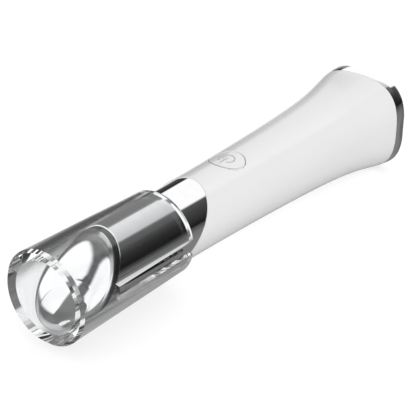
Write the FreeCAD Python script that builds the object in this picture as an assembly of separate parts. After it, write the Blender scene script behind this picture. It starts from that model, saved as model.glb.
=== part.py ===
import FreeCAD, Part
import math
import os

# Heated eye massager wand with a clear push-on cap, as separate pieces in millimetres.
# The wand is drawn standing on its base: z is the height above the base, the button faces +y
# and the charging socket opens downwards.  export_part() lays it on its side, button up, head
# towards -Y, with the origin on the table under the middle of the wand.

# ---- driving dimensions -------------------------------------------------------------------

wand_length = 124.0            # from the base face to the front of the cap
fit_gap = 0.05                 # between pieces that seat in each other
overrun = 1.0                  # how far a cut runs past the piece it opens

# handle: a flared body, square with round sides at the base and round at the neck
base_half_width = 13.0
base_squareness = 0.85         # 0 gives a round base, larger values a squarer one
foot_bulge = 0.1               # cut off the middle of each side of the foot, as a flat to lie on
flare_reach = 13.0             # height over which the base flare fades out
handle_taper = 0.014           # radius lost per millimetre above the flare
neck_radius = 8.75
handle_wall = 1.6
handle_bottom = 3.6            # lower edge of the white shell
lip_wall = 1.0                 # shell wall round the sleeve's spigot, at the neck

# slanted joint between handle and sleeve
seam_setback = 42.15           # from the front of the cap, on the axis
seam_slope = 0.885             # drop per millimetre towards the button side
neck_reserve = 10.15           # the handle's form runs on this far above the seam

# chrome sleeve and its spigot in the handle
sleeve_step = 0.15             # how far the sleeve lies below the handle's skin
spigot_wall = 1.0
spigot_engagement = 4.1        # length of the spigot below the seam's lowest point
spigot_clearance = 0.08

# square-cut seal rings in grooves round the sleeve's and the head ring's spigots
seal_section = 0.8
seal_play = 0.02               # left free between a seal and its seats
seal_side_gap = 0.07           # left free on each side of a seal in its groove
seal_inset = 1.5               # from the spigot's lower end to the middle of the seal

# massage head: dome, heater and ring lie on planes parallel to the seam
head_slope = seam_slope
dome_radius = 8.3
dome_height = 4.2              # above the slanted rim, before the slant is added
dome_wall = 0.8
rim_setback = 10.0             # from the front of the cap to the dome's rim, on the axis
ring_thickness = 1.8
ring_flange = 1.9              # radial width of the ring under the dome's rim
ring_spigot_wall = 0.95
ring_spigot_reach = 13.0       # from the dome's rim to the spigot's lower end, on the axis
ring_shoulder_gap = 0.6
plate_thickness = 0.8
film_thickness = 0.25
thermistor_width = 2.4
thermistor_depth = 1.2
thermistor_height = 1.0

# clear cap
cap_length = 37.8
cap_front_radius = 11.25
cap_mouth_radius = 10.4
cap_bore_front = 8.6
cap_bore_clearance = 0.35      # between the cap's mouth and the handle's lip
cap_end_wall = 1.2
cap_edge = 0.35                # rounding of the cap's outer edges
cap_slot_width = 3.3
cap_slot_length = 25.8         # from the mouth forwards

# power button and switch, measured outwards from the axis
button_to_seam = 21.25         # from the seam back to the middle of the button
button_radius = 4.4
button_gap = 0.12              # between button and handle
button_flange = 0.7            # extra radius that keeps the button inside
button_flange_thickness = 0.75
button_stop_gap = 0.1          # between the flange and the shell
switch_side = 4.6
switch_well_depth = 2.2
plunger_radius = 1.0
plunger_clearance = 0.1
plunger_reach = 0.95           # how far the plunger stands out of the switch
plunger_length = 1.7

# core: chassis, main board, battery
core_clearance = 0.27          # between the chassis and the handle at the chassis's top
core_end_gap = 0.4             # free length at both ends of the chassis
core_wall = 1.4
board_seat = 0.6               # the board's underside lies this far above the axis
board_thickness = 1.0
board_length = 18.6
board_edge_gap = 0.42
board_end_gap = 0.4
battery_radius = 5.0
battery_floor = 0.7            # chassis wall under the cell
battery_bottom = 10.4
battery_gap = 1.4              # between the cell's terminal and the board
battery_clearance = 0.08
battery_edge = 0.5
terminal_radius = 2.2
terminal_length = 0.8
foam_width = 5.0
foam_length = 9.0
foam_inset = 4.0               # from the cell's ends
foam_gap = 0.3                 # between a foam pad and the shell
screw_radius = 0.7
screw_head_radius = 1.4
screw_head_height = 0.8
screw_length = 4.2
screw_slot_width = 0.35
screw_inset = 2.3              # from the board's ends
boss_radius = 1.7
thread_clearance = 0.03

# parts on the board: two columns beside the switch, with a large part at each end
part_column = 4.7              # from the axis to the middle of a column
part_reach = 5.0               # from the switch's middle to a large part's middle
controller_side = 3.4
controller_height = 0.9
charger_side = 3.0
charger_height = 0.8
coil_side = 3.2
coil_height = 1.5
transistor_width = 2.6
transistor_length = 2.2
transistor_height = 0.9
small_part_length = 1.0
small_part_width = 0.5
small_part_height = 0.5
small_part_gap = 0.7           # between small parts in a column

# vibration motor
motor_radius = 3.9
motor_length = 13.0
motor_flat = 0.5               # depth of the flats on two sides of the can
motor_collar = 1.0             # round part of the can at each end
motor_setback = 3.0            # from the head ring's spigot to the can's front
boot_wall = 0.6
boot_lip = 0.5                 # the can stands out of the boot by this much
boot_hole_radius = 1.5
cradle_front_gap = 3.0         # between the cradle and the head ring's spigot
cradle_wire_radius = 3.0
shaft_radius = 0.5
shaft_clearance = 0.05
shaft_depth = 4.6              # length of the shaft inside the motor
shaft_reach = 6.4              # length of the shaft outside the motor
shaft_end_gap = 0.4
bush_radius = 1.6
bush_length = 1.0
weight_radius = 3.2
weight_length = 4.0
weight_gap = 0.6               # between bush and weight
weight_hub_radius = 1.2
weight_fit = 0.01

# base: chrome ring, base plate, charging socket
ring_land = 1.65               # width of the chrome ring's end face
base_edge = 0.35
base_plate_thickness = 2.6
tail_spigot_length = 4.0
tail_spigot_wall = 1.5
collar_wall = 1.2
collar_height = 4.0
collar_gap = 0.6               # between the collar and the foot ring's spigot
socket_width = 8.94
socket_height = 3.16
socket_wall = 0.3
socket_length = 7.4
socket_recess = 0.5            # from the base face to the socket's mouth
socket_opening_gap = 0.25
socket_floor = 1.2
tongue_width = 6.7
tongue_thickness = 0.7
tongue_recess = 1.2
charge_board_thickness = 0.8
charge_board_width = 10.0
charge_board_gap = 0.2

FAR = 40.0                     # reach of the cutting solids, beyond every piece
SECTION_POINTS = 16
SECTION_PITCH = 5.0            # greatest distance between two sections of the handle
SECTION_CROWDING = 1.3         # above 1, sections lie closer in the flare

# ---- heights and radii that follow --------------------------------------------------------

seam_height = wand_length - seam_setback
neck_height = seam_height + neck_reserve
spigot_bottom = seam_height - seam_slope * neck_radius - spigot_engagement
rim_height = wand_length - rim_setback
cap_mouth = wand_length - cap_length


def half_width(z):
    """Half the handle's width, measured across its flats."""
    straight = neck_radius + handle_taper * (neck_height - z)
    flare = base_half_width + foot_bulge - neck_radius - handle_taper * neck_height
    return straight + flare / (1 + (z / flare_reach) ** 2)


spigot_radius = half_width(neck_height) - lip_wall - spigot_clearance
ring_height = rim_height - ring_thickness
ring_bore = dome_radius - ring_flange
ring_spigot_radius = ring_bore + ring_spigot_wall
ring_spigot_bottom = rim_height - ring_spigot_reach
dome_bore = dome_radius - dome_wall
dome_bore_height = dome_height - dome_wall * math.hypot(1, head_slope)

button_height = seam_height - button_to_seam
button_bore = half_width(button_height) - handle_wall
flange_radius = button_radius + button_flange
flange_top = math.sqrt(button_bore ** 2 - flange_radius ** 2) - button_stop_gap
flange_bottom = flange_top - button_flange_thickness
switch_top = flange_bottom - plunger_reach

core_radius = half_width(spigot_bottom) - handle_wall - core_clearance
core_bottom = base_plate_thickness + core_end_gap
core_top = spigot_bottom - core_end_gap
board_face = board_seat + board_thickness
board_half_width = math.sqrt(core_radius ** 2 - board_face ** 2) - board_edge_gap
board_top = core_top - board_end_gap
board_bottom = board_top - board_length
battery_offset = core_radius - battery_floor - battery_radius
battery_top = board_bottom - battery_gap - terminal_length
screw_heights = [board_bottom + screw_inset, board_top - screw_inset]

motor_top = ring_spigot_bottom - motor_setback
motor_bottom = motor_top - motor_length
bush_top = motor_top + bush_length
weight_bottom = bush_top + weight_gap
weight_top = weight_bottom + weight_length

tail_spigot_top = handle_bottom + tail_spigot_length
collar_radius = half_width(tail_spigot_top) - handle_wall - tail_spigot_wall - collar_gap
collar_bore = collar_radius - collar_wall
shelf_radius = collar_bore - 2 * fit_gap
socket_top = socket_recess + socket_length
charge_board_face = -socket_height / 2
charge_board_top = battery_bottom - core_wall - charge_board_gap

# ---- helpers ------------------------------------------------------------------------------


def point(x, y, z):
    return FreeCAD.Vector(x, y, z)


def cylinder(radius, bottom, top, y=0.0):
    return Part.makeCylinder(radius, top - bottom, point(0, y, bottom))


def tube(outer, inner, bottom, top):
    return cylinder(outer, bottom, top).cut(cylinder(inner, bottom, top))


def post(radius, low, high, z, x=0.0):
    """A round post that stands across the wand, from low to high above the axis."""
    return Part.makeCylinder(radius, high - low, point(x, low, z), point(0, 1, 0))


def plate(width, low, high, bottom, top, x=0.0):
    """A rectangular plate across the wand, from low to high above the axis."""
    return Part.makeBox(width, high - low, top - bottom, point(x - width / 2, low, bottom))


def beneath(level):
    """Everything on the side away from the button, below a level over the axis."""
    return plate(2 * FAR, level - 2 * FAR, level, -FAR, 4 * FAR)


def revolved(profile):
    """A closed outline of (radius, height) points turned about the wand's axis."""
    outline = Part.makePolygon([point(r, 0, z) for r, z in profile + profile[:1]])
    return Part.Face(outline).revolve(point(0, 0, 0), point(0, 0, 1), 360)


def slanted_slab(bottom, top, slope):
    """Everything between two parallel planes that drop towards the button side."""
    corners = [(-FAR, bottom + slope * FAR), (FAR, bottom - slope * FAR),
               (FAR, top - slope * FAR), (-FAR, top + slope * FAR)]
    outline = Part.makePolygon([point(-FAR, y, z) for y, z in corners + corners[:1]])
    return Part.Face(outline).extrude(point(2 * FAR, 0, 0))


def slanted_disc(radius, bottom, top, slope):
    return cylinder(radius, bottom - FAR, top + FAR).common(slanted_slab(bottom, top, slope))


def circles_at(shape, height, radius, slack=0.02):
    """The circular edges of a turned piece at one height and radius."""
    found = []
    for edge in shape.Edges:
        box = edge.BoundBox
        if (abs(box.ZMin - height) < slack and abs(box.ZMax - height) < slack
                and abs(box.XMax - radius) < slack):
            found.append(edge)
    return found


def handle_section(z, inset=0.0):
    """A rounded square that turns into a circle where the spigot's seat begins."""
    power = 2 + base_squareness * max(0.0, 1 - z / spigot_bottom) ** 1.5
    points = []
    for i in range(SECTION_POINTS):
        angle = 2 * math.pi * i / SECTION_POINTS
        spread = abs(math.cos(angle)) ** power + abs(math.sin(angle)) ** power
        radius = (half_width(z) - inset) / spread ** (1 / power)
        points.append(point(radius * math.cos(angle), radius * math.sin(angle), z))
    curve = Part.BSplineCurve()
    curve.interpolate(Points=points, PeriodicFlag=True)
    return Part.Wire([curve.toShape()])


def handle_solid(bottom, top, inset=0.0):
    """The handle's form between two heights."""
    count = max(2, math.ceil((top - bottom) / SECTION_PITCH))
    heights = [bottom + (top - bottom) * (i / count) ** SECTION_CROWDING for i in range(count + 1)]
    return Part.makeLoft([handle_section(z, inset) for z in heights], True, True)


def handle_prism(section_height, inset, bottom, top):
    """A straight bar with the handle's outline at one height."""
    wire = handle_section(section_height, inset)
    wire.translate(point(0, 0, bottom - section_height))
    return Part.Face(wire).extrude(point(0, 0, top - bottom))


def stadium(width, height, bottom, top):
    """A bar with half-round sides, standing along the axis."""
    radius = height / 2
    side = width / 2 - radius
    corners = [point(-side, -radius, bottom), point(side, -radius, bottom),
               point(side, radius, bottom), point(-side, radius, bottom)]
    right = Part.Arc(corners[1], point(width / 2, 0, bottom), corners[2])
    left = Part.Arc(corners[3], point(-width / 2, 0, bottom), corners[0])
    outline = Part.Wire([Part.LineSegment(corners[0], corners[1]).toShape(), right.toShape(),
                         Part.LineSegment(corners[2], corners[3]).toShape(), left.toShape()])
    return Part.Face(outline).extrude(point(0, 0, top - bottom))


# ---- clear cap ----------------------------------------------------------------------------


def clear_cap():
    """A thick-walled cup that widens to its closed front, with two slots from its mouth."""
    bore_mouth = half_width(cap_mouth) + cap_bore_clearance
    inner_end = wand_length - cap_end_wall
    body = revolved([(0, wand_length), (cap_front_radius, wand_length),
                     (cap_mouth_radius, cap_mouth), (bore_mouth, cap_mouth),
                     (cap_bore_front, inner_end), (0, inner_end)])
    edges = circles_at(body, wand_length, cap_front_radius)
    edges += circles_at(body, cap_mouth, cap_mouth_radius)
    body = body.makeFillet(cap_edge, edges)
    slots = plate(2 * FAR, -cap_slot_width / 2, cap_slot_width / 2,
                  cap_mouth - overrun, cap_mouth + cap_slot_length)
    return body.cut(slots)


# ---- massage head -------------------------------------------------------------------------


def slanted_dome(radius, height):
    """A half ball flattened along the axis and sheared onto the dome's slanted rim."""
    ball = Part.makeSphere(radius, point(0, 0, 0), point(0, 0, 1), 0, 90, 360)
    matrix = FreeCAD.Matrix(1, 0, 0, 0,
                            0, 1, 0, 0,
                            0, -head_slope, height / radius, rim_height,
                            0, 0, 0, 1)
    return ball.transformGeometry(matrix)


def massage_dome():
    return slanted_dome(dome_radius, dome_height).cut(slanted_dome(dome_bore, dome_bore_height))


def heater_plate():
    radius = dome_bore - fit_gap
    disc = slanted_disc(radius, rim_height, rim_height + plate_thickness, head_slope)
    return disc.common(slanted_dome(radius, dome_bore_height - fit_gap))


def heater_film():
    return slanted_disc(ring_bore - fit_gap, rim_height - film_thickness, rim_height, head_slope)


def thermistor():
    top = rim_height - film_thickness
    bead = plate(thermistor_width, -thermistor_depth / 2, thermistor_depth / 2, top - FAR, top + FAR)
    return bead.common(slanted_slab(top - thermistor_height, top, head_slope))


def seal_groove(height, seat_radius):
    """What is cut from a spigot to hold a seal ring."""
    floor = seat_radius + spigot_clearance - seal_section - 2 * seal_play
    reach = seal_section / 2 + seal_side_gap
    return tube(seat_radius + overrun, floor, height - reach, height + reach)


def seal_ring(height, seat_radius):
    outer = seat_radius + spigot_clearance - seal_play
    return tube(outer, outer - seal_section, height - seal_section / 2, height + seal_section / 2)


def head_ring():
    """The dark band under the dome, with the spigot that plugs into the sleeve."""
    band = slanted_disc(dome_radius, ring_height, rim_height, head_slope)
    spigot = cylinder(ring_spigot_radius, ring_spigot_bottom, rim_height + FAR)
    spigot = spigot.common(slanted_slab(-FAR, rim_height - ring_thickness / 2, head_slope))
    ring = band.fuse(spigot).cut(cylinder(ring_bore, 0, rim_height + FAR))
    groove = seal_groove(ring_spigot_bottom + seal_inset, ring_spigot_radius)
    return ring.cut(groove).removeSplitter()


def head_seal():
    return seal_ring(ring_spigot_bottom + seal_inset, ring_spigot_radius)


# ---- sleeve -------------------------------------------------------------------------------


def sleeve_radius(z):
    """The sleeve's skin: just under the handle at the seam, level with the ring in front."""
    at_seam = half_width(seam_height) - sleeve_step
    share = (z - seam_height) / (ring_height - seam_height)
    return at_seam + (dome_radius - at_seam) * share


def head_sleeve():
    """A slightly conical tube between two slanted ends, with a spigot for the handle."""
    top = rim_height + FAR
    shoulder = ring_spigot_bottom - ring_shoulder_gap
    skin = Part.makeCone(sleeve_radius(spigot_bottom), sleeve_radius(top),
                         top - spigot_bottom, point(0, 0, spigot_bottom))
    skin = skin.common(slanted_slab(seam_height, seam_height + 2 * FAR, seam_slope))
    skin = skin.common(slanted_slab(-FAR, ring_height, head_slope))
    spigot = cylinder(spigot_radius, spigot_bottom, ring_height)
    spigot = spigot.common(slanted_slab(-FAR, seam_height + overrun, seam_slope))
    sleeve = skin.fuse(spigot)
    sleeve = sleeve.cut(cylinder(spigot_radius - spigot_wall, 0, shoulder))
    sleeve = sleeve.cut(cylinder(ring_spigot_radius + spigot_clearance, shoulder, top))
    groove = seal_groove(spigot_bottom + seal_inset, spigot_radius)
    return sleeve.cut(groove).removeSplitter()


def neck_seal():
    return seal_ring(spigot_bottom + seal_inset, spigot_radius)


# ---- handle -------------------------------------------------------------------------------


def handle_shell():
    """The white shell: square flared foot, round neck cut on the slant, hole for the button."""
    outer = handle_solid(handle_bottom, neck_height)
    inner = handle_solid(handle_bottom, spigot_bottom, handle_wall)
    bore = cylinder(spigot_radius + spigot_clearance, spigot_bottom, neck_height)
    shell = outer.cut(inner).cut(bore)
    shell = shell.common(slanted_slab(-FAR, seam_height - fit_gap, seam_slope))
    return shell.cut(post(button_radius + button_gap, 0, FAR, button_height))


# ---- power button and switch --------------------------------------------------------------


def power_button():
    """A key with the handle's own skin on top and a flange that keeps it inside."""
    reach = 2 * button_radius
    skin = handle_solid(button_height - reach, button_height + reach)
    key = post(button_radius, flange_bottom, FAR, button_height).common(skin)
    flange = post(flange_radius, flange_bottom, flange_top, button_height)
    return key.fuse(flange).removeSplitter()


def switch_plunger():
    return post(plunger_radius, flange_bottom - plunger_length, flange_bottom, button_height)


def tact_switch():
    body = plate(switch_side, board_face, switch_top,
                 button_height - switch_side / 2, button_height + switch_side / 2)
    well = post(plunger_radius + plunger_clearance, switch_top - switch_well_depth, switch_top,
                button_height)
    return body.cut(well)


# ---- core ---------------------------------------------------------------------------------


def core_chassis():
    """A half-round tray: socket shelf, battery trough, and a hollow with screw bosses."""
    trough_end = battery_bottom - core_wall
    shelf = cylinder(shelf_radius, core_bottom, trough_end)
    shelf = shelf.common(beneath(charge_board_face - charge_board_thickness))
    tray = cylinder(core_radius, trough_end, core_top).common(beneath(board_seat))
    trough = cylinder(battery_radius + battery_clearance, battery_bottom - fit_gap,
                      battery_top + terminal_length + fit_gap, -battery_offset)
    hollow = cylinder(core_radius - core_wall, board_bottom + core_wall, core_top - core_wall)
    chassis = shelf.fuse(tray).cut(trough).cut(hollow)
    for z in screw_heights:
        boss = post(boss_radius, -core_radius + core_wall / 2, board_seat, z)
        thread = post(screw_radius + thread_clearance, board_face - screw_length - fit_gap,
                      board_seat + overrun, z)
        chassis = chassis.fuse(boss).cut(thread)
    return chassis.removeSplitter()


def battery_cell():
    can = cylinder(battery_radius, battery_bottom, battery_top, -battery_offset)
    edges = circles_at(can, battery_bottom, battery_radius)
    edges += circles_at(can, battery_top, battery_radius)
    return can.makeChamfer(battery_edge, edges)


def battery_terminal():
    return cylinder(terminal_radius, battery_top, battery_top + terminal_length, -battery_offset)


def battery_foam():
    """Two pads that hold the cell down under the shell."""
    pads = []
    low = battery_radius - battery_offset + fit_gap
    for bottom in (battery_bottom + foam_inset, battery_top - foam_inset - foam_length):
        top = bottom + foam_length
        high = half_width(top) - handle_wall - foam_gap
        pads.append(plate(foam_width, low, high, bottom, top))
    return Part.makeCompound(pads)


def main_board():
    board = plate(2 * board_half_width, board_seat, board_face, board_bottom, board_top)
    for z in screw_heights:
        board = board.cut(post(screw_radius + thread_clearance, 0, board_face + overrun, z))
    return board


def board_screws():
    screws = []
    for z in screw_heights:
        shank = post(screw_radius, board_face - screw_length, board_face, z)
        head = post(screw_head_radius, board_face, board_face + screw_head_height, z)
        slot = plate(screw_slot_width, board_face + screw_head_height / 2, FAR,
                     z - 2 * screw_head_radius, z + 2 * screw_head_radius)
        screws.append(shank.fuse(head).cut(slot).removeSplitter())
    return Part.makeCompound(screws)


def chip(x, z, width, length, height):
    """A part on the board, placed from the middle of the switch."""
    middle = button_height + z
    return plate(width, board_face, board_face + height, middle - length / 2, middle + length / 2, x)


def board_parts():
    """Controller, charger, coil, transistor and a few small parts on both sides of the switch."""
    parts = [chip(-part_column, -part_reach, controller_side, controller_side, controller_height),
             chip(part_column, -part_reach, charger_side, charger_side, charger_height),
             chip(-part_column, part_reach, coil_side, coil_side, coil_height),
             chip(part_column, part_reach, transistor_width, transistor_length, transistor_height)]
    for i in (-1.5, -0.5, 0.5, 1.5):
        parts.append(chip(part_column, i * (small_part_width + small_part_gap),
                          small_part_length, small_part_width, small_part_height))
    for i in (-1, 0, 1):
        parts.append(chip(-part_column, i * (small_part_length + small_part_gap),
                          small_part_width, small_part_length, small_part_height))
    return Part.makeCompound(parts)


# ---- motor --------------------------------------------------------------------------------


def motor_cradle():
    """The plastic tube in the sleeve that holds the motor in its boot."""
    seat = motor_bottom - boot_wall - fit_gap
    front = ring_spigot_bottom - cradle_front_gap
    body = cylinder(spigot_radius - spigot_wall - fit_gap, spigot_bottom + core_end_gap, front)
    body = body.cut(cylinder(motor_radius + boot_wall + 2 * fit_gap, seat, front))
    return body.cut(cylinder(cradle_wire_radius, spigot_bottom, seat))


def motor_boot():
    sock = cylinder(motor_radius + boot_wall + fit_gap, motor_bottom - boot_wall, motor_top - boot_lip)
    sock = sock.cut(cylinder(motor_radius + fit_gap, motor_bottom, motor_top))
    return sock.cut(cylinder(boot_hole_radius, 0, motor_bottom))


def motor_can():
    can = cylinder(motor_radius, motor_bottom, motor_top)
    bore = cylinder(shaft_radius + shaft_clearance, motor_top - shaft_depth - shaft_end_gap, motor_top)
    flat_low, flat_high = motor_bottom + motor_collar, motor_top - motor_collar
    flat = plate(FAR, motor_radius - motor_flat, FAR, flat_low, flat_high)
    return can.cut(bore).cut(flat).cut(flat.mirror(point(0, 0, 0), point(0, 1, 0)))


def motor_bush():
    return tube(bush_radius, shaft_radius + shaft_clearance, motor_top, bush_top)


def motor_shaft():
    return cylinder(shaft_radius, motor_top - shaft_depth, motor_top + shaft_reach)


def motor_weight():
    """Half a disc with a hub, pressed on the shaft off balance."""
    disc = cylinder(weight_radius, weight_bottom, weight_top).common(beneath(0))
    hub = cylinder(weight_hub_radius, weight_bottom, weight_top)
    return disc.fuse(hub).cut(cylinder(shaft_radius + weight_fit, 0, weight_top)).removeSplitter()


# ---- base ---------------------------------------------------------------------------------


def tail_ring():
    """The chrome foot ring with its four small flats, and a spigot for the handle's lower end."""
    top = handle_bottom - fit_gap
    skin = handle_solid(0, top)
    skin = skin.makeChamfer(base_edge, [e for e in skin.Edges if e.BoundBox.ZMax < fit_gap])
    skin = skin.common(plate(2 * base_half_width, -base_half_width, base_half_width, 0, top))
    spigot = handle_prism(tail_spigot_top, handle_wall + fit_gap,
                          base_plate_thickness, tail_spigot_top)
    bore = handle_prism(tail_spigot_top, handle_wall + tail_spigot_wall,
                        base_plate_thickness, tail_spigot_top)
    ring = skin.fuse(spigot).cut(handle_prism(0, ring_land, 0, base_plate_thickness))
    return ring.cut(bore)


def base_plate():
    """The flat plate in the foot ring, with the socket's opening and a collar for the chassis."""
    top = base_plate_thickness - fit_gap
    body = handle_prism(0, ring_land + fit_gap, 0, top)
    collar = tube(collar_radius, collar_bore, top / 2, base_plate_thickness + collar_height)
    opening = stadium(socket_width + 2 * socket_opening_gap, socket_height + 2 * socket_opening_gap,
                      -overrun, base_plate_thickness + overrun)
    return body.fuse(collar).cut(opening).removeSplitter()


def charge_socket():
    shell = stadium(socket_width, socket_height, socket_recess, socket_top)
    cavity = stadium(socket_width - 2 * socket_wall, socket_height - 2 * socket_wall,
                     socket_recess, socket_top - socket_floor)
    return shell.cut(cavity)


def socket_tongue():
    return plate(tongue_width, -tongue_thickness / 2, tongue_thickness / 2,
                 socket_recess + tongue_recess, socket_top - socket_floor)


def charge_board():
    return plate(charge_board_width, charge_board_face - charge_board_thickness, charge_board_face,
                 core_bottom, charge_board_top)


# ---- export -------------------------------------------------------------------------------


def export_part(make):
    """Lays a piece on its side with the button up, and writes it under its own name."""
    shape = make().copy()
    shape.rotate(point(0, 0, 0), point(1, 0, 0), 90)
    shape.translate(point(0, wand_length / 2, base_half_width))
    shape.exportStep("parts/" + make.__name__ + ".step")


PIECES = [clear_cap,
          massage_dome, heater_plate, heater_film, thermistor, head_ring, head_seal,
          head_sleeve, neck_seal, handle_shell,
          power_button, switch_plunger, tact_switch,
          main_board, board_parts, board_screws,
          core_chassis, battery_cell, battery_terminal, battery_foam,
          motor_cradle, motor_boot, motor_can, motor_bush, motor_shaft, motor_weight,
          tail_ring, base_plate, charge_socket, socket_tongue, charge_board]

os.makedirs("parts", exist_ok=True)
for piece in PIECES:
    export_part(piece)
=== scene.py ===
import math

import bmesh
import bpy
from bpy.props import FloatProperty, FloatVectorProperty, PointerProperty
from mathutils import Matrix, Vector


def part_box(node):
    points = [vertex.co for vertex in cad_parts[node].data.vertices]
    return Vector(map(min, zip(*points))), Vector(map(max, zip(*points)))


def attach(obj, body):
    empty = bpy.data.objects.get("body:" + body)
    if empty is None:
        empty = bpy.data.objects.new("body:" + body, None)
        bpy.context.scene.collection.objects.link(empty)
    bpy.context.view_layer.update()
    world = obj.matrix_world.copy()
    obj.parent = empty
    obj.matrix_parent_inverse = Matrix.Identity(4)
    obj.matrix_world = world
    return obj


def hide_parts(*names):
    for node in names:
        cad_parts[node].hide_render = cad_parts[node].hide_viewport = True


bl_info = {
    "name": "Eye Massager Wand",
    "version": (1, 0, 0),
    "blender": (4, 5, 0),
    "location": "View3D > Sidebar > Wand",
    "description": "Dresses a heated eye massager wand with a clear push-on cap",
    "category": "Object",
}

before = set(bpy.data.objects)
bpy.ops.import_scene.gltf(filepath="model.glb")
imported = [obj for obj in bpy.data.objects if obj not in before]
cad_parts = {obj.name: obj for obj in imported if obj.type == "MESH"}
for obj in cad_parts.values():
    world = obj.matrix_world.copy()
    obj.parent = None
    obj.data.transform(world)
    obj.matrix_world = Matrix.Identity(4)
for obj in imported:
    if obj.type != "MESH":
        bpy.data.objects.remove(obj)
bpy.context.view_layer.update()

MM = 0.001
FINE = 1e-6                    # two points closer than this are one
NEAR = 0.01 * MM               # a point this close to a plane or circle lies on it
SHELL_GAP = 0.05 * MM          # left open where two outer shells meet
SHARP = math.radians(30)       # an edge sharper than this stays hard
SMOOTH_ROUND = 256             # facets round the cap, the sleeve and the foot ring
PLAIN_ROUND = 192              # facets round the dome, the dark ring and the handle
BUTTON_ROUND = 96              # facets round the button and its hole
SQUARE_FADE = 1.5              # how fast the handle's section turns round above the base
NOISE_LOW, NOISE_HIGH = 0.3, 0.7  # noise rarely leaves this range, so its ends are cut off here


def node_span(name, axis):
    """The lowest and highest place of a CAD piece along one axis."""
    low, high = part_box(name)
    return low[axis], high[axis]


HEAD_END, CAP_MOUTH = node_span("clear_cap", 1)
BASE_END = node_span("tail_ring", 1)[1]
AXIS_Z = sum(node_span("clear_cap", 2)) / 2
AXIS = Vector((0, 0, AXIS_Z))
BASE_HALF = node_span("tail_ring", 2)[1] - AXIS_Z
CAP_FRONT_RADIUS = node_span("clear_cap", 0)[1]
HEAD_RADIUS = node_span("head_ring", 0)[1]
RIM_Y = HEAD_END + 10.0 * MM   # the dome's slanted rim crosses the axis here
SEAM_Y = HEAD_END + 42.15 * MM  # the slanted seam of handle and sleeve crosses the axis here
BUTTON_Y = sum(node_span("power_button", 1)) / 2


# ---- what a user may change ---------------------------------------------------------------

def length(name, description, default):
    """A size in metres that a user may change."""
    return FloatProperty(name=name, description=description, default=default, min=0.0,
                         unit="LENGTH", precision=5)


def number(name, description, default):
    """A plain number that a user may change."""
    return FloatProperty(name=name, description=description, default=default, min=0.0)


def colour(name, description, default):
    """A colour that a user may change."""
    return FloatVectorProperty(name=name, description=description, default=default, size=3,
                               min=0.0, max=1.0, subtype="COLOR")


class WandForm(bpy.types.PropertyGroup):
    """Sizes of the wand's shell, head and cap"""
    neck_radius: length("Neck Radius", "Radius of the handle where it turns round", 8.75 * MM)
    taper: number("Taper", "Radius lost per unit of length towards the neck", 0.014)
    neck_height: length("Neck Height", "Place of the neck above the base", 92.0 * MM)
    flare_reach: length("Flare Reach", "Height over which the base flare fades", 13.0 * MM)
    round_height: length("Round Height", "Above this height the handle is round", 70.0 * MM)
    squareness: number("Squareness", "How square the base is", 0.85)
    foot_bulge: length("Foot Bulge", "What the foot's small flats cut off its sides", 0.1 * MM)
    seam_slope: number("Seam Slope", "Slant of the seam between handle and sleeve", 0.885)
    head_slope: number("Head Slope", "Slant of the dome's rim and its ring", 0.885)
    dome_height: length("Dome Height", "Height of the dome over its rim", 4.2 * MM)
    dome_wall: length("Dome Wall", "Thickness of the dome's metal", 0.8 * MM)
    ring_height: length("Ring Height", "Thickness of the dark ring", 1.8 * MM)
    mouth_radius: length("Cap Mouth Radius", "Outer radius of the cap's mouth", 10.4 * MM)
    bore_front: length("Cap Bore, Front", "Bore radius at the closed end", 8.6 * MM)
    bore_mouth: length("Cap Bore, Mouth", "Bore radius at the mouth", 9.25 * MM)
    end_wall: length("Cap End Wall", "Thickness of the cap's closed end", 1.2 * MM)
    slot_width: length("Slot Width", "Width of the slots in the cap", 3.3 * MM)
    slot_length: length("Slot Length", "Length of the slots from the mouth", 25.8 * MM)
    cap_edge: length("Cap Edge", "Chamfer of the cap's front edge", 0.7 * MM)
    mouth_lead: length("Mouth Lead-In", "Depth of the slant on the mouth's end face", 0.7 * MM)
    button_radius: length("Button Radius", "Radius of the power button", 4.4 * MM)


class WandColours(bpy.types.PropertyGroup):
    """Colours of the wand's visible finishes"""
    shell: colour("Shell", "White of the handle", (0.90, 0.90, 0.90))
    chrome: colour("Chrome", "Tint of the plated pieces", (0.90, 0.90, 0.905))
    ring: colour("Ring", "Dark ring under the dome", (0.045, 0.045, 0.048))
    symbol: colour("Symbol", "Line of the power symbol", (0.52, 0.52, 0.53))
    clear: colour("Clear", "Tint of the clear cap", (0.97, 0.975, 0.98))


# ---- materials ----------------------------------------------------------------------------

def shader(name):
    """A new material with its node tree, its surface shader and its Object coordinates."""
    made = bpy.data.materials.new(name)
    made.use_nodes = True
    tree = made.node_tree
    surface = tree.nodes["Principled BSDF"]
    coords = tree.nodes.new("ShaderNodeTexCoord").outputs["Object"]
    return made, tree, surface, coords


def noise(tree, coords, scale, detail=3.0):
    """Noise over the piece; scale is in grains per metre."""
    node = tree.nodes.new("ShaderNodeTexNoise")
    node.inputs["Scale"].default_value = scale
    node.inputs["Detail"].default_value = detail
    tree.links.new(coords, node.inputs["Vector"])
    return node.outputs["Fac"]


def feed(tree, socket, value):
    """Sets an input to a number or colour, or links it to another node's output."""
    if isinstance(value, (int, float, tuple)):
        socket.default_value = value
    else:
        tree.links.new(value, socket)


def remap(tree, value, start, end, low=0.0, high=1.0, smooth=False):
    """A value that runs from low to high while another runs from start to end."""
    node = tree.nodes.new("ShaderNodeMapRange")
    if smooth:
        node.interpolation_type = "SMOOTHSTEP"
    feed(tree, node.inputs["Value"], value)
    feed(tree, node.inputs["From Min"], start)
    feed(tree, node.inputs["From Max"], end)
    feed(tree, node.inputs["To Min"], low)
    feed(tree, node.inputs["To Max"], high)
    return node.outputs["Result"]


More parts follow.
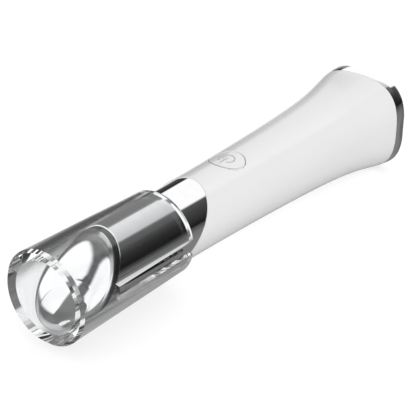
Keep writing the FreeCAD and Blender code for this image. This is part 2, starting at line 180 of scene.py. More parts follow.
def arithmetic(tree, kind, first, second=0.0):
    """One sum, product or other operation on numbers or outputs."""
    node = tree.nodes.new("ShaderNodeMath")
    node.operation = kind
    feed(tree, node.inputs[0], first)
    feed(tree, node.inputs[1], second)
    return node.outputs["Value"]


def mixed(tree, share, first, second):
    """The first colour where the share is 0, the second where it is 1."""
    node = tree.nodes.new("ShaderNodeMix")
    node.data_type = "RGBA"
    feed(tree, node.inputs["Factor"], share)
    feed(tree, node.inputs["A"], first)
    feed(tree, node.inputs["B"], second)
    return node.outputs["Result"]


def ramp(tree, value, stops):
    """A colour that follows a value through (position from 0 to 1, colour) stops."""
    node = tree.nodes.new("ShaderNodeValToRGB")
    marks = node.color_ramp.elements
    marks.remove(marks[-1])
    for index, (position, tone) in enumerate(stops):
        mark = marks[0] if index == 0 else marks.new(position)
        mark.position = position
        mark.color = (*tone, 1)
    tree.links.new(value, node.inputs["Fac"])
    return node.outputs["Color"]


def spread(tree, value, low, high):
    """Noise stretched between two limits."""
    return remap(tree, value, NOISE_LOW, NOISE_HIGH, low, high)


def shades(tree, value, dark, light):
    """A colour that runs from dark to light with noise."""
    return ramp(tree, value, ((NOISE_LOW, dark), (NOISE_HIGH, light)))


def bump(tree, surface, value, strength, depth):
    """Lets noise raise and lower a surface by up to a depth."""
    node = tree.nodes.new("ShaderNodeBump")
    node.inputs["Strength"].default_value = strength
    node.inputs["Distance"].default_value = depth
    tree.links.new(value, node.inputs["Height"])
    tree.links.new(node.outputs["Normal"], surface.inputs["Normal"])


def toned(base, factor):
    """A colour made lighter or darker."""
    return tuple(min(1.0, c * factor) for c in base)


def moulded(name, base, roughness, grain=9000.0, depth=0.004 * MM, variation=0.03, coat=0.0):
    """Moulded plastic: a fine skin grain and a slow drift of tone."""
    made, tree, surface, coords = shader(name)
    drift = noise(tree, coords, scale=60.0)
    tree.links.new(shades(tree, drift, toned(base, 1 - variation), toned(base, 1 + variation)),
                   surface.inputs["Base Color"])
    skin = noise(tree, coords, grain, detail=4.0)
    tree.links.new(spread(tree, skin, roughness * 0.85, roughness * 1.15),
                   surface.inputs["Roughness"])
    bump(tree, surface, skin, strength=0.25, depth=depth)
    surface.inputs["Coat Weight"].default_value = coat
    surface.inputs["Coat Roughness"].default_value = 0.06
    return made


def plated(name, base, roughness):
    """Bright plating: a mirror with a trace of haze from polishing."""
    variation = 0.02
    made, tree, surface, coords = shader(name)
    haze = noise(tree, coords, scale=350.0)
    tree.links.new(shades(tree, haze, toned(base, 1 - variation), toned(base, 1 + variation)),
                   surface.inputs["Base Color"])
    tree.links.new(spread(tree, haze, roughness * 0.6, roughness * 1.4),
                   surface.inputs["Roughness"])
    surface.inputs["Metallic"].default_value = 1.0
    return made


def clear_plastic(name, base):
    """Polished clear acrylic with the faintest handling haze."""
    made, tree, surface, coords = shader(name)
    haze = noise(tree, coords, scale=240.0)
    tree.links.new(shades(tree, haze, toned(base, 0.99), base), surface.inputs["Base Color"])
    tree.links.new(spread(tree, haze, 0.0, 0.012), surface.inputs["Roughness"])
    surface.inputs["Transmission Weight"].default_value = 1.0
    surface.inputs["IOR"].default_value = 1.49
    return made


# ---- mesh tools ---------------------------------------------------------------------------

def lathe(outline, steps):
    """A mesh spun about the wand's axis from (radius, y) points; a closed outline makes a ring."""
    bm = bmesh.new()
    verts = [bm.verts.new((radius, y, AXIS_Z)) for radius, y in outline]
    edges = [bm.edges.new(pair) for pair in zip(verts, verts[1:])]
    if outline[0][0] > FINE:
        edges.append(bm.edges.new((verts[-1], verts[0])))
    bmesh.ops.spin(bm, geom=verts + edges, cent=AXIS, axis=(0, 1, 0), angle=2 * math.pi,
                   steps=steps, use_merge=True)
    bmesh.ops.remove_doubles(bm, verts=bm.verts, dist=FINE)
    bmesh.ops.recalc_face_normals(bm, faces=bm.faces)
    return bm


def ring_edges(bm, radius, y):
    """The edges of a spun mesh that run round the axis at one radius and place."""
    def on_ring(vert):
        reach = math.hypot(vert.co.x, vert.co.z - AXIS_Z)
        return abs(vert.co.y - y) < NEAR and abs(reach - radius) < NEAR

    return [e for e in bm.edges if on_ring(e.verts[0]) and on_ring(e.verts[1])]


def ease(bm, edges, width, segments):
    """Chamfers edges with one segment, rounds them with more."""
    return bmesh.ops.bevel(bm, geom=edges, offset=width, offset_type="OFFSET", affect="EDGES",
                           segments=segments, profile=0.5, material=-1)


def shear(bm, slope):
    """Slants a mesh: what lies on the button's side moves towards the base."""
    matrix = Matrix(((1, 0, 0, 0), (0, 1, slope, -slope * AXIS_Z), (0, 0, 1, 0), (0, 0, 0, 1)))
    bmesh.ops.transform(bm, matrix=matrix, verts=bm.verts)


def slice_off(bm, y, slope, keep_base):
    """Cuts a closed ring of mesh on a slanted plane and closes the cut."""
    normal = Vector((0, 1, -slope)).normalized()
    bmesh.ops.bisect_plane(bm, geom=bm.verts[:] + bm.edges[:] + bm.faces[:], dist=FINE,
                           plane_co=(0, y, AXIS_Z), plane_no=normal,
                           clear_inner=keep_base, clear_outer=not keep_base)
    rim = [e for e in bm.edges if e.is_boundary]
    bmesh.ops.bridge_loops(bm, edges=rim)
    return rim


def only_verts(parts):
    """The vertices among the parts of a mesh."""
    return [part for part in parts if isinstance(part, bmesh.types.BMVert)]


def make_piece(bm, name, body, material, replaces=()):
    """Turns a mesh into a smooth piece that rides on a body."""
    bmesh.ops.recalc_face_normals(bm, faces=bm.faces)
    mesh = bpy.data.meshes.new(name)
    bm.to_mesh(mesh)
    bm.free()
    mesh.shade_smooth()
    mesh.set_sharp_from_angle(angle=SHARP)
    mesh.materials.append(material)
    piece = bpy.data.objects.new(name, mesh)
    bpy.context.scene.collection.objects.link(piece)
    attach(piece, body)
    if replaces:
        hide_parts(*replaces)
    return piece


def finish_solid(name, material):
    """Gives a CAD piece its material in every slot."""
    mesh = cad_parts[name].data
    if not mesh.materials:
        mesh.materials.append(material)
    for index in range(len(mesh.materials)):
        mesh.materials[index] = material


# ---- the handle's form --------------------------------------------------------------------

def half_width(form, y):
    """Half the handle's width across its flats at one place along the wand."""
    height = BASE_END - y
    flare = BASE_HALF + form.foot_bulge - form.neck_radius - form.taper * form.neck_height
    straight = form.neck_radius + form.taper * (form.neck_height - height)
    return straight + flare / (1 + (height / form.flare_reach) ** 2)


def section_power(form, y):
    """2 where the handle is round, more where it is a rounded square."""
    near_base = max(0.0, 1 - (BASE_END - y) / form.round_height)
    return 2 + form.squareness * near_base ** SQUARE_FADE


def square_off(bm, form):
    """Pushes a spun mesh out to the handle's rounded square, and flattens the foot's sides."""
    for vert in bm.verts:
        angle = math.atan2(vert.co.z - AXIS_Z, vert.co.x)
        power = section_power(form, vert.co.y)
        reach = (abs(math.cos(angle)) ** power + abs(math.sin(angle)) ** power) ** (-1 / power)
        vert.co.x = max(-BASE_HALF, min(BASE_HALF, vert.co.x * reach))
        vert.co.z = AXIS_Z + max(-BASE_HALF, min(BASE_HALF, (vert.co.z - AXIS_Z) * reach))


def skin_height(form, x, y):
    """Height of the handle's skin above the table on the button's side."""
    power = section_power(form, y)
    return AXIS_Z + (half_width(form, y) ** power - abs(x) ** power) ** (1 / power)


def stations(start, end, count):
    """Places in even steps from a start to an end, with both ends."""
    return [start + (end - start) * i / count for i in range(count + 1)]


# ---- operators, one for each piece or group of like pieces --------------------------------

class WAND_OT_clear_cap(bpy.types.Operator):
    """Make the thick clear cap with its two slots"""
    bl_idname = "wand.clear_cap"
    bl_label = "Clear Cap"

    def execute(self, context):
        form = context.scene.wand_form
        inner_end = HEAD_END + form.end_wall
        bm = lathe([(0, HEAD_END), (CAP_FRONT_RADIUS, HEAD_END), (form.mouth_radius, CAP_MOUTH),
                    (form.bore_mouth, CAP_MOUTH - form.mouth_lead), (form.bore_front, inner_end),
                    (0, inner_end)], SMOOTH_ROUND)
        ease(bm, ring_edges(bm, CAP_FRONT_RADIUS, HEAD_END), form.cap_edge, 1)
        for side in (-1, 1):
            self.cut_slot(bm, form, side)
        cap = make_piece(bm, "cap_clear", "cap",
                         clear_plastic("clear acrylic", context.scene.wand_colours.clear),
                         ["clear_cap"])
        cap.visible_shadow = False
        return {"FINISHED"}

    def cut_slot(self, bm, form, side):
        """Opens a slot from the mouth through one side of the wall."""
        half = form.slot_width / 2
        slot_end = CAP_MOUTH - form.slot_length
        cuts = [(Vector((0, 0, AXIS_Z + half)), Vector((0, 0, 1))),
                (Vector((0, 0, AXIS_Z - half)), Vector((0, 0, 1))),
                (Vector((0, slot_end, 0)), Vector((0, 1, 0)))]
        for place, normal in cuts:
            near = [f for f in bm.faces if f.calc_center_median().x * side > form.bore_front / 2
                    and abs(f.calc_center_median().z - AXIS_Z) < 2 * form.slot_width]
            parts = dict.fromkeys(part for face in near
                                  for part in (*face.verts, *face.edges, face))
            bmesh.ops.bisect_plane(bm, geom=list(parts), dist=FINE, plane_co=place, plane_no=normal)
        gone = []
        for face in bm.faces:
            middle = face.calc_center_median()
            if middle.x * side > 0 and abs(middle.z - AXIS_Z) < half and middle.y > slot_end:
                gone.append(face)
        bmesh.ops.delete(bm, geom=gone, context="FACES")
        rim = [e for e in bm.edges if e.is_boundary]

        def lies(vert, axis, place):
            return abs(vert.co[axis] - place) < NEAR

        for level in (AXIS_Z + half, AXIS_Z - half):
            corner = [v for e in rim for v in e.verts
                      if lies(v, 2, level) and lies(v, 1, slot_end)]
            bm.edges.new(list(dict.fromkeys(corner)))
        corners = [e for e in bm.edges if e.is_wire]
        for axis, place in ((2, AXIS_Z + half), (2, AXIS_Z - half), (1, slot_end)):
            loop = [e for e in rim + corners if all(lies(v, axis, place) for v in e.verts)]
            bmesh.ops.contextual_create(bm, geom=loop)


class WAND_OT_massage_dome(bpy.types.Operator):
    """Make the slanted metal dome"""
    bl_idname = "wand.massage_dome"
    bl_label = "Massage Dome"

    def execute(self, context):
        form = context.scene.wand_form
        bore_height = form.dome_height - form.dome_wall * math.hypot(1, form.head_slope)
        turns = stations(0, math.pi / 2, 32)
        outline = [(HEAD_RADIUS * math.sin(turn), RIM_Y - form.dome_height * math.cos(turn))
                   for turn in turns]
        outline += [((HEAD_RADIUS - form.dome_wall) * math.sin(turn),
                     RIM_Y - bore_height * math.cos(turn)) for turn in reversed(turns)]
        bm = lathe(outline, PLAIN_ROUND)
        shear(bm, form.head_slope)
        chrome = plated("dome plating", context.scene.wand_colours.chrome, 0.02)
        make_piece(bm, "dome_metal", "wand", chrome, ["massage_dome"])
        return {"FINISHED"}


class WAND_OT_head_ring(bpy.types.Operator):
    """Make the dark ring between dome and sleeve"""
    bl_idname = "wand.head_ring"
    bl_label = "Head Ring"

    def execute(self, context):
        form = context.scene.wand_form
        edge, flange = 0.18 * MM, 1.9 * MM
        inner = HEAD_RADIUS - flange
        base = RIM_Y + form.ring_height
        bm = lathe([(inner, RIM_Y), (HEAD_RADIUS - edge, RIM_Y), (HEAD_RADIUS, RIM_Y + edge),
                    (HEAD_RADIUS, base - edge), (HEAD_RADIUS - edge, base), (inner, base)],
                   PLAIN_ROUND)
        shear(bm, form.head_slope)
        ring = moulded("dark gloss plastic", context.scene.wand_colours.ring, 0.12, coat=0.5)
        make_piece(bm, "ring_dark", "wand", ring, ["head_ring"])
        return {"FINISHED"}


class WAND_OT_sleeve(bpy.types.Operator):
    """Make the chrome sleeve between the head and the handle"""
    bl_idname = "wand.sleeve"
    bl_label = "Chrome Sleeve"

    def execute(self, context):
        form = context.scene.wand_form
        step, wall = 0.15 * MM, 1.0 * MM
        front_spare, back_spare = 8 * MM, 12 * MM  # cut off again on the two slants
        ring_base = RIM_Y + form.ring_height
        at_seam = half_width(form, SEAM_Y) - step

        def radius(y):
            return at_seam + (HEAD_RADIUS - at_seam) * (y - SEAM_Y) / (ring_base - SEAM_Y)

        front, back = ring_base - front_spare, SEAM_Y + back_spare
        bm = lathe([(radius(front), front), (radius(back), back),
                    (radius(back) - wall, back), (radius(front) - wall, front)], SMOOTH_ROUND)
        slice_off(bm, ring_base, form.head_slope, True)
        slice_off(bm, SEAM_Y, form.seam_slope, False)
        chrome = plated("sleeve plating", context.scene.wand_colours.chrome, 0.02)
        make_piece(bm, "sleeve_chrome", "wand", chrome, ["head_sleeve"])
        return {"FINISHED"}


class WAND_OT_handle(bpy.types.Operator):
    """Make the white handle with its slanted lip and the hole for the button"""
    bl_idname = "wand.handle"
    bl_label = "Handle"

    BUTTON_GAP = 0.12 * MM

    def execute(self, context):
        form = context.scene.wand_form
        wall, rows = 1.0 * MM, 120
        foot = node_span("handle_shell", 1)[1]
        neck = BASE_END - form.neck_height
        places = stations(neck, foot, rows)
        outline = [(half_width(form, y), y) for y in places]
        outline += [(half_width(form, y) - wall, y) for y in reversed(places)]
        bm = lathe(outline, PLAIN_ROUND)
        square_off(bm, form)
        slice_off(bm, SEAM_Y + SHELL_GAP, form.seam_slope, True)
        self.ease_lip(bm, form)
        white = moulded("white shell plastic", context.scene.wand_colours.shell, 0.22,
                        variation=0.006, coat=0.35)
        shell = make_piece(bm, "handle_white", "wand", white, ["handle_shell"])
        self.drill(context, shell, form)
        return {"FINISHED"}

    def ease_lip(self, bm, form):
        """Breaks the sharp outer edge of the slanted lip."""
        edge, skin = 0.12 * MM, 0.3 * MM
        normal = Vector((0, 1, -form.seam_slope)).normalized()
        place = Vector((0, SEAM_Y + SHELL_GAP, AXIS_Z))

        def on_lip(vert):
            reach = math.hypot(vert.co.x, vert.co.z - AXIS_Z)
            return (abs((vert.co - place).dot(normal)) < NEAR
                    and reach > half_width(form, vert.co.y) - skin)

        rim = [e for e in bm.edges if on_lip(e.verts[0]) and on_lip(e.verts[1])]
        ease(bm, rim, edge, 2)

    def drill(self, context, shell, form):
        """Cuts the round hole for the button and breaks its edge."""
        edge, skin = 0.16 * MM, 0.1 * MM
        hole = form.button_radius + self.BUTTON_GAP
        bm = bmesh.new()
        bmesh.ops.create_cone(bm, cap_ends=True, segments=BUTTON_ROUND, radius1=hole,
                              radius2=hole, depth=BASE_HALF,
                              matrix=Matrix.Translation((0, BUTTON_Y, AXIS_Z + BASE_HALF)))
        mesh = bpy.data.meshes.new("drill")
        bm.to_mesh(mesh)
        bm.free()
        drill = bpy.data.objects.new("drill", mesh)
        context.scene.collection.objects.link(drill)
        cut = shell.modifiers.new("button hole", "BOOLEAN")
        cut.operation = "DIFFERENCE"
        cut.solver = "EXACT"
        cut.object = drill
        context.view_layer.update()
        evaluated = shell.evaluated_get(context.evaluated_depsgraph_get())
        drilled = bpy.data.meshes.new_from_object(evaluated)
        shell.modifiers.remove(cut)
        bpy.data.objects.remove(drill)
        bm = bmesh.new()
        bm.from_mesh(drilled)

        def on_rim(vert):
            return (abs(math.hypot(vert.co.x, vert.co.y - BUTTON_Y) - hole) < NEAR
                    and abs(vert.co.z - skin_height(form, vert.co.x, vert.co.y)) < skin)

        rim = [e for e in bm.edges if on_rim(e.verts[0]) and on_rim(e.verts[1])]
        ease(bm, rim, edge, 1)
        bm.to_mesh(drilled)
        bm.free()
        drilled.shade_smooth()
        drilled.set_sharp_from_angle(angle=SHARP)
        shell.data = drilled


class WAND_OT_button(bpy.types.Operator):
    """Make the power button and its symbol"""
    bl_idname = "wand.button"
    bl_label = "Power Button"

    SYMBOL_LINE = 0.34 * MM

    def execute(self, context):
        form = context.scene.wand_form
        colours = context.scene.wand_colours
        white = moulded("white key plastic", colours.shell, 0.2, variation=0.006, coat=0.35)
        grey = moulded("symbol print", colours.symbol, 0.35)
        make_piece(self.key(form), "button_key", "button", white, ["power_button"])
        make_piece(self.arc(form), "symbol_arc", "button", grey)
        make_piece(self.bar(form), "symbol_bar", "button", grey)
        return {"FINISHED"}

    def drape(self, bm, form, lift):
        """Lays a flat mesh drawn at height 0 on the handle's skin."""
        for vert in bm.verts:
            vert.co.z += skin_height(form, vert.co.x, vert.co.y) + lift

    def key(self, form):
        """A round key whose top follows the handle's skin, with a narrow ledge round it."""
        bm = bmesh.new()
        edge, depth, rings = 0.28 * MM, 3.5 * MM, 12
        for step in range(rings, 0, -1):
            bmesh.ops.create_circle(bm, segments=BUTTON_ROUND,
                                    radius=(form.button_radius - edge) * step / rings,
                                    matrix=Matrix.Translation((0, BUTTON_Y, 0)))
        # Known fault: one call joins these rings out of order, so layers of the top lie on each
        # other, the ledge starts from a ring under them, and the key's faces point inwards.
        bmesh.ops.bridge_loops(bm, edges=bm.edges[:])
        centre = Vector((0, BUTTON_Y, 0))
        inner = [e for e in bm.edges if e.is_boundary
                 and (e.verts[0].co - centre).length < form.button_radius / 6]
        bmesh.ops.contextual_create(bm, geom=inner)
        rim = [e for e in bm.edges if e.is_boundary]
        for radius, drop in ((form.button_radius, edge), (form.button_radius, depth)):
            grown = bmesh.ops.extrude_edge_only(bm, edges=rim)["geom"]
            rim = [g for g in grown if isinstance(g, bmesh.types.BMEdge) and g.is_boundary]
            for vert in only_verts(grown):
                across = Vector((vert.co.x, vert.co.y - BUTTON_Y, 0)).normalized() * radius
                vert.co = Vector((across.x, BUTTON_Y + across.y, -drop))
        bmesh.ops.contextual_create(bm, geom=rim)
        self.drape(bm, form, 0.0)
        return bm

    def arc(self, form):
        """The broken circle of the power symbol, open towards the head."""
        mean, gap = 1.9 * MM, math.radians(62)
        bm = bmesh.new()
        low, high = mean - self.SYMBOL_LINE / 2, mean + self.SYMBOL_LINE / 2
        start = Vector((math.sin(gap / 2), -math.cos(gap / 2), 0))
        verts = [bm.verts.new(Vector((0, BUTTON_Y, 0)) + start * reach) for reach in (low, high)]
        side = bm.edges.new(verts)
        bmesh.ops.spin(bm, geom=verts + [side], cent=(0, BUTTON_Y, 0), axis=(0, 0, 1),
                       angle=2 * math.pi - gap, steps=60)
        return self.thicken(bm, form)

    def bar(self, form):
        """The stroke of the power symbol, from the gap to just past the middle."""
        reach, past_middle = 2.9 * MM, 0.25 * MM
        bm = bmesh.new()
        bmesh.ops.create_grid(bm, x_segments=2, y_segments=8, size=0.5,
                              matrix=Matrix.Translation((0, BUTTON_Y + past_middle - reach / 2, 0))
                              @ Matrix.Diagonal((self.SYMBOL_LINE, reach, 1, 1)))
        return self.thicken(bm, form)

    def thicken(self, bm, form):
        """Turns a flat outline into a thin raised line on the key."""
        sunk, thickness = 0.05 * MM, 0.08 * MM
        self.drape(bm, form, -sunk)
        grown = bmesh.ops.extrude_face_region(bm, geom=bm.faces[:])["geom"]
        bmesh.ops.translate(bm, vec=(0, 0, thickness), verts=only_verts(grown))
        return bm


class WAND_OT_tail(bpy.types.Operator):
    """Make the chrome foot ring"""
    bl_idname = "wand.tail"
    bl_label = "Foot Ring"

    def execute(self, context):
        form = context.scene.wand_form
        edge, land = 0.35 * MM, 1.65 * MM
        front = node_span("handle_shell", 1)[1] + SHELL_GAP
        places = stations(front, BASE_END - edge, 8)
        outline = [(half_width(form, y), y) for y in places]
        rim = half_width(form, BASE_END)
        outline += [(rim - edge, BASE_END), (rim - land, BASE_END), (rim - land, front)]
        bm = lathe(outline, SMOOTH_ROUND)
        square_off(bm, form)
        chrome = plated("foot plating", context.scene.wand_colours.chrome, 0.02)
        make_piece(bm, "foot_ring", "wand", chrome, ["tail_ring"])
        return {"FINISHED"}


class WAND_OT_solids(bpy.types.Operator):
    """Finish the pieces that keep the shape of their solids"""
    bl_idname = "wand.solids"
    bl_label = "Inner Pieces"

    def execute(self, context):
        shell = context.scene.wand_colours.shell
        finishes = {
            moulded("base plate plastic", shell, 0.3, variation=0.006): ["base_plate"],
            moulded("natural plastic", (0.78, 0.77, 0.72), 0.5): ["core_chassis", "motor_cradle"],
            moulded("black plastic", (0.03, 0.03, 0.03), 0.4): ["switch_plunger", "board_parts",
                                                                "thermistor", "socket_tongue"],
            moulded("board lacquer", (0.02, 0.16, 0.07), 0.3): ["main_board", "charge_board"],
            moulded("amber film", (0.6, 0.28, 0.03), 0.3): ["heater_film"],
            moulded("seal rubber", (0.05, 0.05, 0.05), 0.7): ["head_seal", "neck_seal",
                                                              "motor_boot"],
            moulded("foam", (0.12, 0.12, 0.125), 0.9,
                    grain=2500.0, depth=0.05 * MM): ["battery_foam"],
            moulded("cell sleeve", (0.1, 0.25, 0.5), 0.3): ["battery_cell"],
            plated("plain aluminium", (0.8, 0.8, 0.82), 0.25): ["heater_plate"],
            plated("nickel", (0.72, 0.71, 0.69), 0.15): ["tact_switch", "board_screws",
                                                         "battery_terminal", "motor_can",
                                                         "motor_shaft", "charge_socket"],
            plated("sintered metal", (0.4, 0.4, 0.41), 0.4): ["motor_weight"],
            plated("bush brass", (0.78, 0.58, 0.25), 0.2): ["motor_bush"],
        }
        for material, names in finishes.items():
            for name in names:
                finish_solid(name, material)
        return {"FINISHED"}


class WAND_OT_stage(bpy.types.Operator):
    """Set the pale floor, the reflection cards, the lights and the camera"""
    bl_idname = "wand.stage"
    bl_label = "Stage"

    # Brightness of the studio round the wand's axis, by degrees from straight up towards +X,
    # in six stretches of its length. FRONT_CARDS lies behind the two large white cards.
    FRONT_CARDS = ((-180, 0.6), (-112, 0.7), (-98, 0.4), (-92, 0.1), (0, 0.12), (86, 0.28),
                   (110, 0.25), (130, 0.12), (155, 0.15), (180, 0.6))
    SIDE_CARDS = ((-180, 0.15), (-110, 0.12), (-96, 0.03), (-48, 0.1), (-30, 0.18), (0, 0.15),
                  (14, 0.12), (22, 0.4), (30, 0.6), (60, 0.75), (68, 1.2), (98, 1.2), (112, 0.3),
                  (125, 0.25), (160, 0.2), (180, 0.15))
    RIM_CARDS = ((-180, 0.15), (-110, 0.15), (-88, 0.5), (-78, 0.5), (-70, 0.1), (-34, 0.12),
                 (-26, 0.65), (5, 0.65), (11, 0.12), (25, 0.2), (35, 0.5), (60, 0.6), (68, 1.1),
                 (98, 1.1), (112, 0.3), (125, 0.25), (160, 0.2), (180, 0.15))
    INNER_CARDS = ((-180, 0.35), (-140, 0.35), (-136, 1.0), (-124, 1.0), (-118, 0.5), (-108, 0.3),
                   (-98, 0.1), (-80, 0.08), (-64, 0.13), (-46, 0.14), (-38, 0.11), (-32, 0.95),
                   (-12, 0.8), (16, 0.6), (21, 0.15), (36, 0.12), (44, 0.07), (60, 0.03),
                   (84, 0.01), (92, 0.07), (105, 0.18), (125, 0.22), (150, 0.2), (160, 0.1),
                   (180, 0.35))
    BACK_CARDS = ((-180, 0.3), (-140, 0.3), (-136, 1.0), (-110, 1.0), (-100, 0.5), (-92, 0.08),
                  (-66, 0.02), (-60, 1.1), (22, 1.1), (28, 0.09), (45, 0.06), (72, 0.03),
                  (86, 0.01), (90, 0.07), (105, 0.18), (125, 0.22), (160, 0.22), (180, 0.3))
    END_CARDS = ((-180, 0.2), (-150, 0.2), (-140, 1.0), (-100, 1.0), (-88, 0.5), (-66, 0.3),
                 (-60, 1.1), (22, 1.1), (28, 0.3), (60, 0.3), (76, 0.03), (90, 0.05), (110, 0.15),
                 (150, 0.15), (180, 0.2))
    # where along the studio, in metres, one set of cards gives way to the next
    CARD_EDGES = ((-0.3, -0.14), (0.18, 0.3), (0.6, 0.95), (1.66, 1.76), (2.0, 2.3))
    # half the dark gap between the two white cards, in degrees, by place along the studio
    GAP = ((-4.0, 170), (-3.2, 42), (-2.6, 20), (-1.9, 15), (-1.5, 9), (-1.05, 9), (-0.8, 13),
           (-0.54, 19), (-0.32, 26), (-0.1, 38))
    GAP_EDGE = 5                   # degrees over which the gap's edges fade, to each side
    GAP_MIDDLE = -11               # degrees from straight up
    GAP_BEND = -1.5                # in front of this place the gap drifts round the axis
    GAP_DRIFT = 14                 # degrees of drift for each metre
    LEFT_LEAN = 12.5               # degrees of slant of the left card's edge for each metre
    LEFT_EDGE = (-100, -92)        # degrees over which the left card fades in
    RIGHT_EDGE = (76, 88)          # degrees over which the right card fades out
    WHITE = 1.3                    # brightness of the two white cards
    PEAK = 1.4                     # brightness that a strip's colour of 1 stands for

    CARDS_RADIUS = 2.0
    CARDS_HALF_LENGTH = 12.0
    FLOOR_HALF_SIZE = 4.0

    def execute(self, context):
        self.floor(context)
        self.cards(context)
        self.sky(context)
        self.lamp(context, "key", place=(1.3, -0.7, 0.9), size=1.3, power=10.0)
        self.camera(context)
        context.scene.view_settings.view_transform = "Standard"
        cycles = context.scene.cycles
        cycles.max_bounces = cycles.glossy_bounces = cycles.transmission_bounces = 16
        cycles.caustics_reflective = cycles.caustics_refractive = False
        return {"FINISHED"}

    def sheet(self, context, bm, name, material):
        """Turns a mesh into an object of the stage."""
        mesh = bpy.data.meshes.new(name)
        bm.to_mesh(mesh)
        bm.free()
        mesh.materials.append(material)
        made = bpy.data.objects.new(name, mesh)
        context.scene.collection.objects.link(made)
        return made

    def hide(self, made, *rays):
        """Hides an object of the stage from some kinds of ray."""
        for ray in rays:
            setattr(made, "visible_" + ray, False)

    def floor(self, context):
        """A pale floor that takes the wand's shadow and is white to the camera."""
        made, tree, surface, _ = shader("pale floor")
        direct = tree.nodes.new("ShaderNodeLightPath").outputs["Is Camera Ray"]
        surface.inputs["Roughness"].default_value = 1.0
        surface.inputs["Specular IOR Level"].default_value = 0.0
        surface.inputs["Emission Color"].default_value = (0.75, 0.75, 0.75, 1)
        tree.links.new(remap(tree, direct, 0.0, 1.0, 0.8, 0.4), surface.inputs["Base Color"])
        tree.links.new(direct, surface.inputs["Emission Strength"])
        bm = bmesh.new()
        bmesh.ops.create_grid(bm, x_segments=1, y_segments=1, size=self.FLOOR_HALF_SIZE)
        floor = self.sheet(context, bm, "floor", made)
        self.hide(floor, "glossy", "transmission")

    def cards(self, context):
        """Long strips of light and dark round the wand, seen only by metal and clear plastic."""
        made = bpy.data.materials.new("studio cards")
        made.use_nodes = True
        tree = made.node_tree
        tree.nodes.clear()
        place = tree.nodes.new("ShaderNodeSeparateXYZ")
        tree.links.new(tree.nodes.new("ShaderNodeTexCoord").outputs["Object"], place.inputs[0])
        height = arithmetic(tree, "SUBTRACT", place.outputs["Z"], AXIS_Z)
        angle = arithmetic(tree, "DEGREES",
                           arithmetic(tree, "ARCTAN2", place.outputs["X"], height))
        along = place.outputs["Y"]
        turn = remap(tree, angle, -180, 180)
        strips = [self.strip(tree, turn, stops)
                  for stops in (self.FRONT_CARDS, self.SIDE_CARDS, self.RIM_CARDS,
                                self.INNER_CARDS, self.BACK_CARDS, self.END_CARDS)]
        whole = self.front_cards(tree, angle, along, strips[0])
        for limits, farther in zip(self.CARD_EDGES, strips[1:]):
            whole = mixed(tree, remap(tree, along, *limits), whole, farther)
        light = tree.nodes.new("ShaderNodeEmission")
        light.inputs["Strength"].default_value = self.PEAK
        tree.links.new(whole, light.inputs["Color"])
        out = tree.nodes.new("ShaderNodeOutputMaterial")
        tree.links.new(light.outputs["Emission"], out.inputs["Surface"])
        bm = bmesh.new()
        bmesh.ops.create_circle(bm, segments=180, radius=self.CARDS_RADIUS,
                                matrix=Matrix.Translation((0, -self.CARDS_HALF_LENGTH, AXIS_Z))
                                @ Matrix.Rotation(math.pi / 2, 4, "X"))
        grown = bmesh.ops.extrude_edge_only(bm, edges=bm.edges[:])["geom"]
        bmesh.ops.translate(bm, vec=(0, 2 * self.CARDS_HALF_LENGTH, 0), verts=only_verts(grown))
        cards = self.sheet(context, bm, "studio_cards", made)
        self.hide(cards, "camera", "diffuse", "shadow", "volume_scatter")

    def strip(self, tree, turn, stops):
        """Brightness round the axis from (degrees, brightness) stops."""
        return ramp(tree, turn, [(0.5 + angle / 360, (level / self.PEAK,) * 3)
                                 for angle, level in stops])

    def front_cards(self, tree, angle, along, behind):
        """Two large white cards in front of the wand, with a dark gap between them over its top."""
        start, end = self.GAP[0][0], self.GAP[-1][0]
        width = ramp(tree, remap(tree, along, start, end),
                     [((y - start) / (end - start), (half / 180,) * 3) for y, half in self.GAP])
        width = arithmetic(tree, "MULTIPLY", width, 180)
        ahead = arithmetic(tree, "MINIMUM", arithmetic(tree, "SUBTRACT", along, self.GAP_BEND))
        middle = arithmetic(tree, "ADD", arithmetic(tree, "MULTIPLY", ahead, self.GAP_DRIFT),
                            self.GAP_MIDDLE)
        off = arithmetic(tree, "ABSOLUTE", arithmetic(tree, "SUBTRACT", angle, middle))
        gap = remap(tree, off, arithmetic(tree, "SUBTRACT", width, self.GAP_EDGE),
                    arithmetic(tree, "ADD", width, self.GAP_EDGE), smooth=True)
        lean = arithmetic(tree, "ADD", angle, arithmetic(tree, "MULTIPLY", along, self.LEFT_LEAN))
        left = remap(tree, lean, *self.LEFT_EDGE, smooth=True)
        right = remap(tree, angle, *self.RIGHT_EDGE, 1.0, 0.0, smooth=True)
        cards = arithmetic(tree, "MULTIPLY", gap, arithmetic(tree, "MULTIPLY", left, right))
        white = self.WHITE / self.PEAK
        return mixed(tree, cards, behind, (white, white, white, 1))

    def sky(self, context):
        """White behind everything that is seen directly, in metal or through clear plastic."""
        world = bpy.data.worlds.new("studio")
        context.scene.world = world
        world.use_nodes = True
        tree = world.node_tree
        scattered = tree.nodes.new("ShaderNodeLightPath").outputs["Is Diffuse Ray"]
        white = tree.nodes["Background"]
        white.inputs["Color"].default_value = (1, 1, 1, 1)
        tree.links.new(remap(tree, scattered, 0.0, 1.0, 1.0, 0.7), white.inputs["Strength"])

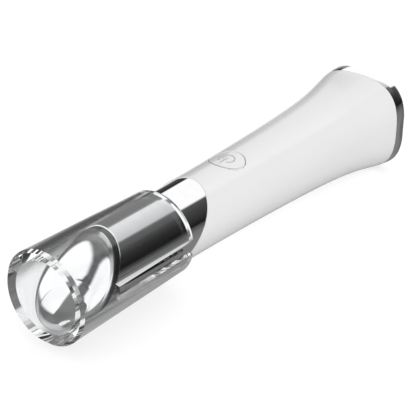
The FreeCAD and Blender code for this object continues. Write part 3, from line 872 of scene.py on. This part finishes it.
    def lamp(self, context, name, place, size, power):
        """A soft round lamp that points at the wand."""
        light = bpy.data.lights.new(name, "AREA")
        light.shape = "DISK"
        light.size = size
        light.energy = power
        lamp = bpy.data.objects.new(name, light)
        lamp.location = place
        lamp.rotation_euler = (AXIS - Vector(place)).to_track_quat("-Z", "Y").to_euler()
        self.hide(lamp, "glossy", "transmission")
        context.scene.collection.objects.link(lamp)

    def camera(self, context):
        """A long lens that looks down at the wand from the capped head's end and from +X."""
        place = Vector((0.1894, -0.2528, 0.1765))
        right = Vector((0.7881, 0.6153, 0.0173))
        up = Vector((-0.2997, 0.3591, 0.8839))
        eye = bpy.data.cameras.new("camera")
        eye.sensor_width = 36.0
        eye.lens = 128.25
        eye.clip_start = 0.01
        camera = bpy.data.objects.new("camera", eye)
        turned = Matrix((right, up, right.cross(up))).transposed().to_4x4()
        camera.matrix_world = Matrix.Translation(place) @ turned
        context.scene.collection.objects.link(camera)
        context.scene.camera = camera


# ---- panel and registration ---------------------------------------------------------------

MAKERS = (WAND_OT_clear_cap, WAND_OT_massage_dome, WAND_OT_head_ring, WAND_OT_sleeve,
          WAND_OT_handle, WAND_OT_button, WAND_OT_tail, WAND_OT_solids, WAND_OT_stage)


class WAND_PT_pieces(bpy.types.Panel):
    """Sidebar panel that lists the wand's pieces"""
    bl_idname = "WAND_PT_pieces"
    bl_label = "Eye Massager Wand"
    bl_space_type = "VIEW_3D"
    bl_region_type = "UI"
    bl_category = "Wand"

    def draw(self, context):
        for maker in MAKERS:
            self.layout.operator(maker.bl_idname)
        for group in (context.scene.wand_form, context.scene.wand_colours):
            box = self.layout.box()
            for name in group.__annotations__:
                box.prop(group, name)


CLASSES = (WandForm, WandColours) + MAKERS + (WAND_PT_pieces,)


def register():
    for cls in CLASSES:
        bpy.utils.register_class(cls)
    bpy.types.Scene.wand_form = PointerProperty(type=WandForm)
    bpy.types.Scene.wand_colours = PointerProperty(type=WandColours)


def unregister():
    del bpy.types.Scene.wand_colours
    del bpy.types.Scene.wand_form
    for cls in reversed(CLASSES):
        bpy.utils.unregister_class(cls)


def main():
    register()
    for maker in MAKERS:
        group, name = maker.bl_idname.split(".")
        getattr(getattr(bpy.ops, group), name)()


if __name__ == "__main__":
    main()
